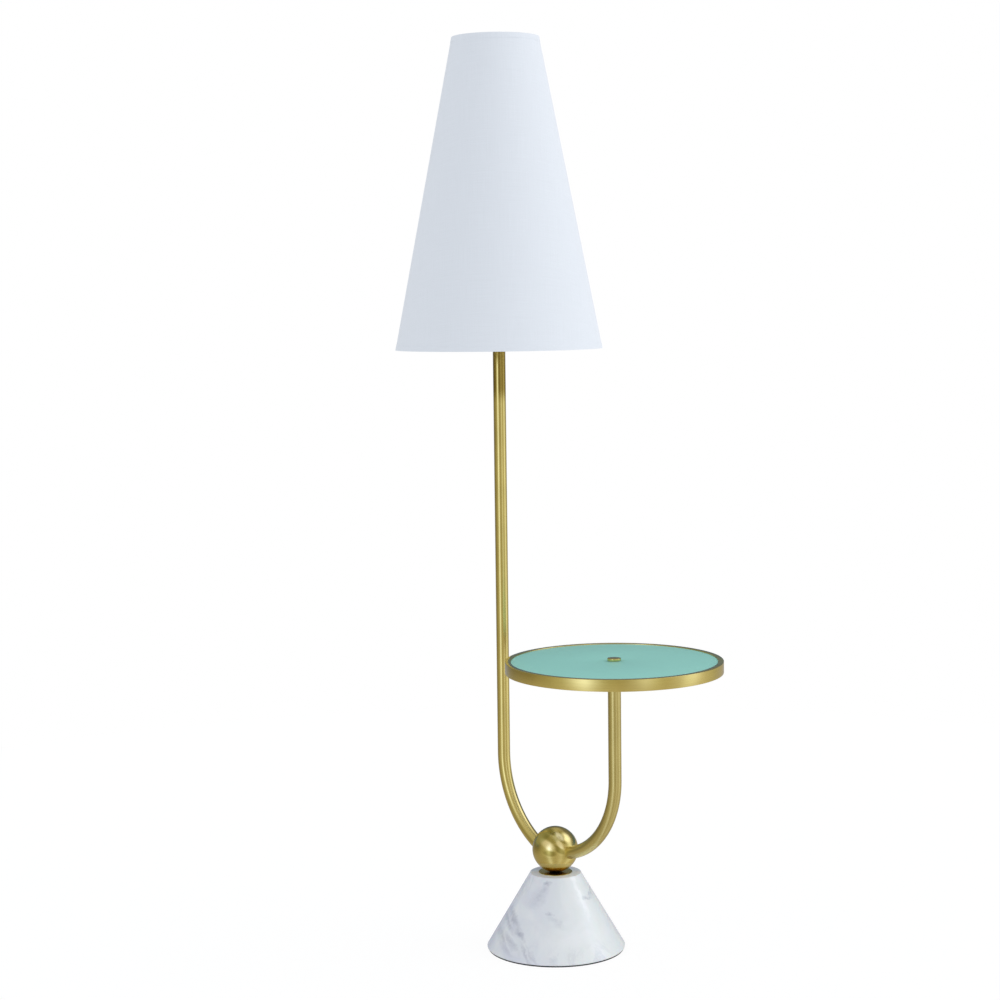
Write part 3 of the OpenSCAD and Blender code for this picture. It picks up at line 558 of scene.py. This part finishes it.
# Floor and light. The floor is white to the camera and keeps a share of the shadow. It is clear
# from below, and brass mirrors the studio's own colours instead of it.
studio = {
    "floor": {"radius": 2.2, "sides": 128, "drop": 0.0002},
    "floorTone": (0.95, 0.95, 0.95), "floorRoughness": 0.9, "floorGlow": 1.015,
    "shadowShare": 0.1,
    "fill": 0.9, "fillTone": (0.93, 0.96, 1.0),
    "key": {"strength": 0.76, "right": 80, "height": 22, "softness": 50, "distance": 4},
    # stops are (sine of the angle above or below the horizon, share there)
    "overhead": {"tone": (0.62, 0.58, 0.46), "share": 0.9, "stops": [(0.2, 0), (0.6, 1)]},
    "underfoot": {"tone": (0.62, 0.56, 0.44), "share": 0.55, "stops": [(0.03, 0), (0.4, 1)]},
    "lowBehind": {"tone": (0.20, 0.19, 0.15), "stops": [(0.0, 0), (0.06, 1), (0.6, 1), (0.85, 0)]},
    "coolBand": {"tone": (0.08, 0.165, 0.25), "stops": [(0.03, 0), (0.07, 1), (0.2, 1), (0.25, 0)]},
    # where behind is, as shares of a whole turn
    "behind": [(0.0, 1), (0.16, 1), (0.26, 0), (0.74, 0), (0.84, 1), (1.0, 1)],
    "boxes": [  # degrees to the right, degrees up, width in degrees, colour
        (97, 44, 17, (1.75, 1.80, 2.2)), (186, 52, 16, (1.0, 0.96, 0.95)),
        (-125, 40, 34, (0.36, 0.36, 0.22)),
    ],
    "boxEdge": (-0.08, 0.06),
    "turned": 40,
    "around": [  # degrees to the right of the camera's side, and the colour there
        (-180, (0.38, 0.40, 0.60)), (-160, (0.27, 0.30, 0.39)), (-140, (0.22, 0.20, 0.14)),
        (-100, (0.27, 0.23, 0.12)), (-75, (0.42, 0.39, 0.24)), (-55, (0.57, 0.55, 0.39)),
        (-43, (1.06, 1.12, 1.22)), (-33, (1.55, 1.72, 2.2)), (-24, (0.87, 0.90, 0.90)),
        (-14, (0.51, 0.49, 0.33)), (4, (0.44, 0.39, 0.23)), (18, (0.63, 0.61, 0.52)),
        (30, (1.00, 1.02, 1.07)), (42, (0.67, 0.65, 0.49)), (54, (0.56, 0.51, 0.34)),
        (70, (0.78, 0.76, 0.70)), (80, (1.13, 1.20, 1.23)), (90, (1.20, 1.23, 1.31)),
        (102, (0.67, 0.63, 0.52)), (120, (0.56, 0.53, 0.35)), (150, (0.42, 0.39, 0.37)),
        (180, (0.38, 0.40, 0.60)),
    ],
}
pureWhite = (1, 1, 1, 1)


# 1 for rays that come straight from the camera or through glass
def seenPlainly(finish, path):
    rays = path.outputs
    return finish.math("MAXIMUM", rays["Is Camera Ray"], rays["Is Transmission Ray"])


def direction(right, up):
    azimuth, lift = math.radians(right), math.radians(up)
    level = math.cos(lift)
    return (math.cos(azimuth) * level, math.sin(azimuth) * level, math.sin(lift))


def makeFloor():
    form = studio["floor"]
    lowered = Matrix.Translation((0, 0, -form["drop"]))
    bm = bmesh.new()
    bmesh.ops.create_circle(
        bm, cap_ends=True, segments=form["sides"], radius=form["radius"], matrix=lowered)
    mesh = bpy.data.meshes.new("floor")
    bm.to_mesh(mesh)
    bm.free()
    finish = Finish("whiteFloor")
    finish.surface(Base_Color=(*studio["floorTone"], 1), Roughness=studio["floorRoughness"])
    white = finish.add("Emission", {"Color": pureWhite, "Strength": studio["floorGlow"]})
    seen = seenPlainly(finish, finish.add("LightPath"))
    share = finish.math("MULTIPLY", seen, 1 - studio["shadowShare"])
    blend = finish.add("MixShader", {0: share, 1: finish.shader, 2: white})
    below = finish.add("NewGeometry").outputs["Backfacing"]
    clear = finish.add("BsdfTransparent")
    oneSided = finish.add("MixShader", {0: below, 1: blend, 2: clear})
    finish.feed(finish.tree.nodes["Material Output"], "Surface", oneSided)
    mesh.materials.append(finish.material)
    floor = bpy.data.objects.new("floor", mesh)
    floor.visible_glossy = False
    scene.collection.objects.link(floor)


# The world: white to the camera, an even fill for dull surfaces, and a studio for mirroring ones
def makeLight():
    world = bpy.data.worlds.new("studio")
    scene.world = world
    finish = Finish("studio", world)
    around = finish.place("Generated", turned=(0, 0, studio["turned"]))
    turnShare = finish.add("TexGradient", {0: around}, gradient_type="RADIAL").outputs[1]
    stops = [((angle + 180) / 360, colour) for angle, colour in studio["around"]]
    pattern = finish.ramp(turnShare, stops)
    height = finish.axis(around, 2)
    depth = finish.math("ABSOLUTE", finish.math("MINIMUM", height, 0.0))
    for zone, level in ((studio["overhead"], height), (studio["underfoot"], depth)):
        share = finish.math("MULTIPLY", finish.ramp(level, zone["stops"]), zone["share"])
        pattern = finish.mix(share, pattern, zone["tone"])
    behind = finish.ramp(turnShare, studio["behind"])
    for zone in (studio["lowBehind"], studio["coolBand"]):
        share = finish.math("MULTIPLY", behind, finish.ramp(height, zone["stops"]))
        pattern = finish.mix(share, pattern, zone["tone"])
    for right, up, wide, colour in studio["boxes"]:
        vectors = {0: around, 1: direction(right, up)}
        facing = finish.add("VectorMath", vectors, operation="DOT_PRODUCT").outputs[1]
        reach = math.cos(math.radians(wide))
        start, end = (reach + margin for margin in studio["boxEdge"])
        pattern = finish.mix(finish.span(facing, start, end, mode="SMOOTHSTEP"), pattern, colour)
    path = finish.add("LightPath")
    mirrored = finish.add("Background", {"Color": pattern, "Strength": 1.0})
    soft = finish.add("Background", {"Color": (*studio["fillTone"], 1), "Strength": studio["fill"]})
    white = finish.add("Background", {"Color": pureWhite, "Strength": 1.0})
    lit = finish.add("MixShader", {0: path.outputs["Is Glossy Ray"], 1: soft, 2: mirrored})
    whole = finish.add("MixShader", {0: seenPlainly(finish, path), 1: lit, 2: white})
    finish.feed(finish.tree.nodes["World Output"], "Surface", whole)


# One broad soft lamp from the right, which polished surfaces don't mirror
def makeKey():
    key = studio["key"]
    lamp = bpy.data.lights.new("key", "SUN")
    lamp.energy = key["strength"]
    lamp.angle = math.radians(key["softness"])
    lampObject = bpy.data.objects.new("key", lamp)
    towards = Vector(direction(key["right"] - studio["turned"], key["height"]))
    turned = towards.to_track_quat("Z", "Y").to_matrix().to_4x4()
    lampObject.matrix_world = Matrix.Translation(towards * key["distance"]) @ turned
    lampObject.visible_glossy = False
    scene.collection.objects.link(lampObject)


makeFloor()
makeLight()
makeKey()
print("floor and light made")

# Base: a marble cone turned with its recess and bore, a thin pad under it and a disc on it
base = {
    "foot": 0.1205, "top": 0.0445, "height": 0.134, "pad": 0.0022,
    "footCurve": [(0.0015, 0), (0.0004, 0.0007), (0, 0.00225)],  # inwards and up from the corner
    "topCurve": [(0, 0.00075), (0.00025, 0.0002), (0.00075, 0)],  # inwards and down from it
    "recess": (0.036, 0.0342), "bore": 0.006,
    "padRadii": (0.1186, 0.119), "padEdge": 0.0003,
    "disc": (0.0293, 0.1352), "discBore": 0.0052, "discCorner": 0.0003, "discEdge": 0.00025,
    "coneSteps": 192, "steps": 160, "sharp": 35,
}
recessRadius, recessTop = base["recess"]
outline = [(recessRadius, base["pad"])]
outline += [(base["foot"] - inwards, base["pad"] + up) for inwards, up in base["footCurve"]]
outline += [(base["top"] - inwards, base["height"] - down) for inwards, down in base["topCurve"]]
outline += [(base["bore"], base["height"]), (base["bore"], recessTop), (recessRadius, recessTop)]
coneForm = turnedForm(outline, base["coneSteps"], ring=True)
makePiece("marbleCone", coneForm, marble, "stand", ("marble_base",), base["sharp"])

padLow, padHigh = base["padRadii"]
padOutline = [(0, 0), (padLow, 0), (padHigh, base["pad"]), (0, base["pad"])]
padForm = turnedForm(padOutline, base["steps"], bevel=base["padEdge"])
makePiece("footPad", padForm, pad, "stand", ("floor_pad",))

discRadius, discTop = base["disc"]
discOutline = [
    (base["discBore"], base["height"]), (discRadius, base["height"]),
    (discRadius, discTop - base["discCorner"]), (discRadius - base["discCorner"], discTop),
    (base["discBore"], discTop),
]
discForm = turnedForm(discOutline, base["steps"], ring=True, bevel=base["discEdge"])
mapRound(discForm, 0, discRadius)
makePiece("seatDisc", discForm, shadedBrassDisc, "stand", ("seat_disc",))
print("base made")

# Ball, with the flat that it stands on
ball = {
    "radius": 0.04, "centre": 0.1745, "flat": 0.1352, "rings": 72, "steps": 144, "sharp": 40,
}
radius, middle = ball["radius"], ball["centre"]
lowest = math.asin((ball["flat"] - middle) / radius)
arc = [lowest + (math.pi / 2 - lowest) * i / ball["rings"] for i in range(ball["rings"] + 1)]
arcPoints = [(max(0, radius * math.cos(a)), middle + radius * math.sin(a)) for a in arc]
arcPoints[-1] = (0, middle + radius)
ballForm = turnedForm([(0, ball["flat"])] + arcPoints, ball["steps"])
mapRound(ballForm, 0, radius, lambda r, z: radius * math.atan2(z - middle, r))
makePiece("ball", ballForm, brassBall, "stand", ("ball",), ball["sharp"])
print("ball made")

# Stem and arm: a tube's ring is spun down the bend and drawn straight up
tubes = {
    "radius": 0.011, "wall": 0.0015, "inside": 0.014, "sides": 64, "steps": 56,
    "stem": {"side": -1, "reach": 0.136, "bend": 0.170, "bendHeight": 0.326, "top": 1.276},
    "arm": {"side": 1, "reach": 0.154, "bend": 0.150, "bendHeight": 0.3215, "top": 0.504},
}


# U runs down the tube from the bend's upper end, V round it
def mapTube(bm, side, middle, bend, low):
    layer = bm.loops.layers.uv.new("map")
    for face in bm.faces:
        around = None
        for loop in face.loops:
            x, y, z = loop.vert.co
            along, drop = side * x - middle, low - z
            if drop <= touching:
                run, out = -drop, along - bend
            else:
                run, out = -bend * math.atan2(drop, along), math.hypot(along, drop) - bend
            angle = math.atan2(y, out)
            if around is None:
                around = angle
            loop[layer].uv = (run, nextTo(angle, around) * tubes["radius"])


def bentTube(form):
    side, bend, low = form["side"], form["bend"], form["bendHeight"]
    middle = form["reach"] - bend  # distance of the bend's centre from the ball's axis
    bm = bmesh.new()
    start = Matrix.Translation((side * form["reach"], 0, low))
    ring = bmesh.ops.create_circle(
        bm, segments=tubes["sides"], radius=tubes["radius"], matrix=start)["verts"]
    ringEdges = list(bm.edges)
    sweep = math.acos((tubes["inside"] - middle) / bend)
    bmesh.ops.spin(
        bm, geom=ring + ringEdges, cent=(side * middle, 0, low), axis=(0, 1, 0),
        angle=side * sweep, steps=tubes["steps"],
    )
    drawn = bmesh.ops.extrude_edge_only(bm, edges=ringEdges)["geom"]
    upper = [v for v in drawn if isinstance(v, bmesh.types.BMVert)]
    bmesh.ops.translate(bm, verts=upper, vec=(0, 0, form["top"] - low))
    bmesh.ops.recalc_face_normals(bm, faces=bm.faces)
    bmesh.ops.solidify(bm, geom=bm.faces[:], thickness=tubes["wall"])
    mapTube(bm, side, middle, bend, low)
    return bm


makePiece("stemTube", bentTube(tubes["stem"]), brassTube, "stand", ("stem_tube",))
makePiece("armTube", bentTube(tubes["arm"]), shadedBrassArm, "stand", ("arm_tube",))
print("tubes made")

# Table: rolled rim, painted glass, and the cap in its middle
table = {
    "centre": 0.154, "radius": 0.183, "rimWidth": 0.0095, "top": 0.5265, "rimHeight": 0.0195,
    "glassRadius": 0.1733, "glassTop": 0.5255, "glassThickness": 0.006, "glassBore": 0.0055,
    "cap": (0.0115, 0.5261, 0.5305), "rimEdge": 0.0005, "glassEdge": 0.0006, "capEdge": 0.0006,
    "rimSteps": 256, "glassSteps": 224, "capSteps": 96,
}


def tableForm(part, inner, outer, low, high):
    outline = [(inner, low), (outer, low), (outer, high), (inner, high)]
    steps, edge = table[part + "Steps"], table[part + "Edge"]
    return turnedForm(outline, steps, table["centre"], inner > 0, edge)


rimInner, rimLow = table["radius"] - table["rimWidth"], table["top"] - table["rimHeight"]
rimForm = tableForm("rim", rimInner, table["radius"], rimLow, table["top"])
mapRound(rimForm, table["centre"], table["radius"])
makePiece("tableRim", rimForm, brassTurned, "stand", ("table_rim",))

glassTop, glassLow = table["glassTop"], table["glassTop"] - table["glassThickness"]
paneForm = tableForm("glass", table["glassBore"], table["glassRadius"], glassLow, glassTop)
makePiece("paintedPane", paneForm, painted, "stand", ("table_glass",))

capRadius, capLow, capTop = table["cap"]
capForm = tableForm("cap", 0, capRadius, capLow, capTop)
mapRound(capForm, table["centre"], capRadius)
makePiece("cap", capForm, brassTurned, "stand", ("table_cap",))
print("table made")

# Shade: linen on a stiff lining, cut flat as a ring sector with its seam at the rear
shade = {
    "centre": -0.136, "low": 1.044, "high": 1.583, "lowRadius": 0.1815, "highRadius": 0.076,
    "linen": 0.0008, "lining": 0.0007, "hem": 0.009, "hemThickness": 0.00035, "seamAngle": 140,
    "seam": (0.009, 0.0004), "seamInset": 0.0002, "seamGrid": (4, 24), "rows": (24, 12, 3),
    "flat": (1.073, 0.620), "area": 0.4445, "sharp": 50,
}
shadeLow, shadeHigh, shadeCentre = shade["low"], shade["high"], shade["centre"]
slope = (shade["lowRadius"] - shade["highRadius"]) / (shadeHigh - shadeLow)
lean = math.sin(math.atan(slope))
seamTurn = math.radians(shade["seamAngle"])


def shadeRadius(z):
    return shade["lowRadius"] - (z - shadeLow) * slope


def shadeBand(low, high, inside, outside, rows):
    levels = [low + (high - low) * i / rows for i in range(rows + 1)]
    outline = [(shadeRadius(z) + outside, z) for z in levels]
    outline += [(shadeRadius(z) + inside, z) for z in reversed(levels)]
    return turnedForm(outline, centre=shadeCentre, ring=True)


# Lays the cone out flat, as the cloth was cut, in metres
def mapFlat(bm):
    layer = bm.loops.layers.uv.new("map")
    for face in bm.faces:
        middle = face.calc_center_median()
        start = (math.atan2(middle.y, middle.x - shadeCentre) - seamTurn) % (2 * math.pi)
        for loop in face.loops:
            x, y, z = loop.vert.co
            angle = (math.atan2(y, x - shadeCentre) - seamTurn) % (2 * math.pi)
            opened = (nextTo(angle, start) - math.pi) * lean
            slant = math.hypot(x - shadeCentre, y) / lean
            loop[layer].uv = (slant * math.sin(opened), slant * math.cos(opened))


# Lap of the seam: a strip of even width, laid up the cone
def seamForm():
    width, thickness = shade["seam"]
    across, along = shade["seamGrid"]
    inset = shade["seamInset"]
    bm = bmesh.new()
    bmesh.ops.create_grid(bm, x_segments=across, y_segments=along, size=0.5)
    for vert in bm.verts:
        z = shadeLow + inset + (vert.co.y + 0.5) * (shadeHigh - shadeLow - 2 * inset)
        r = shadeRadius(z) + shade["hemThickness"]
        angle = seamTurn + vert.co.x * width / r
        vert.co = (shadeCentre + r * math.cos(angle), r * math.sin(angle), z)
    bmesh.ops.recalc_face_normals(bm, faces=bm.faces)
    outwards = Vector((math.cos(seamTurn), math.sin(seamTurn), 0))
    if bm.faces[:][0].normal.dot(outwards) < 0:
        bmesh.ops.reverse_faces(bm, faces=bm.faces)
    bmesh.ops.solidify(bm, geom=bm.faces[:], thickness=thickness)
    return bm


def clothPiece(name, bm, stands=()):
    mapFlat(bm)
    return makePiece(name, bm, linen, "shade", stands, shade["sharp"])


skin, hem, fold = shade["linen"], shade["hem"], shade["hemThickness"]
linenRows, liningRows, hemRows = shade["rows"]
linenForm = shadeBand(shadeLow, shadeHigh, -skin, 0, linenRows)
linenPiece = clothPiece("shadeLinen", linenForm, ("shade_linen",))
liningForm = shadeBand(shadeLow, shadeHigh, -(skin + shade["lining"]), -skin, liningRows)
makePiece(
    "shadeLining", liningForm, liner, "shade", ("shade_liner",), shade["sharp"])
topForm = shadeBand(shadeHigh - hem, shadeHigh, 0, fold, hemRows)
topHem = clothPiece("topHem", topForm, ("top_hem",))
lowForm = shadeBand(shadeLow, shadeLow + hem, 0, fold, hemRows)
lowHem = clothPiece("lowHem", lowForm, ("bottom_hem",))
seamLap = clothPiece("seamLap", seamForm())
print("shade made")

# The other visible nodes are shown as smoothed copies, each with edges softened by so much
keptForms = {
    "bulbGlobe": ("bulb_glass", 0), "bulbScrewCap": ("bulb_base", 0.0003),
    "bulbTip": ("bulb_contact", 0.0002), "harpBow": ("harp", 0.0003),
    "harpSaddle": ("harp_saddle", 0.0003), "frontSleeve": ("front_sleeve", 0.0002),
    "rearSleeve": ("rear_sleeve", 0.0002), "checkRing": ("check_ring", 0.0004),
    "nippleNut": ("nipple_nut", 0.0002), "socketCap": ("socket_cap", 0.0002),
    "socketShell": ("socket_shell", 0.0001), "switchShaft": ("switch_shaft", 0.0002),
    "switchKnob": ("switch_knob", 0.0003), "shadeSpider": ("shade_spider", 0),
    "lowRing": ("bottom_ring", 0), "finialKnob": ("finial", 0.0003),
    "tableFlange": ("table_flange", 0.0005), "flangeScrews": ("flange_screws", 0.0002),
    "cordBushing": ("cord_bushing", 0.0004), "tablePlate": ("table_plate", 0.0003),
    "baseWasher": ("base_washer", 0.0003), "baseNut": ("base_nut", 0.0003),
}
softening = {"sharp": 28, "from": 40, "segments": 2}  # the first two in degrees
subparts = {item["node"]: item["material_slot"] for item in frame["record"]["subparts"]}
bodies = frame["record"]["behaviour"]["bodies"]
bodyOf = {node: body for body, members in bodies.items() for node in members}


def keptPiece(name, node, edge):
    bm = bmesh.new()
    bm.from_mesh(nodes[node].data)
    bmesh.ops.remove_doubles(bm, verts=bm.verts, dist=touching)
    slotName, sharp = subparts[node], softening["sharp"]
    piece = makePiece(name, bm, slotFinish[slotName], bodyOf[node], (node,), sharp)
    if edge:
        softened = piece.modifiers.new("edges", "BEVEL")
        softened.width, softened.segments = edge, softening["segments"]
        softened.limit_method, softened.angle_limit = "ANGLE", math.radians(softening["from"])
        softened.harden_normals = True


for name, (node, edge) in keptForms.items():
    keptPiece(name, node, edge)
print("fittings made")

# Nodes that nothing replaces take their finish from their slot
for name, node in nodes.items():
    if name in subparts and not node.hide_render:
        node.data.materials.clear()
        node.data.materials.append(slotFinish[subparts[name]])
        print("finish of", name, "is", subparts[name])
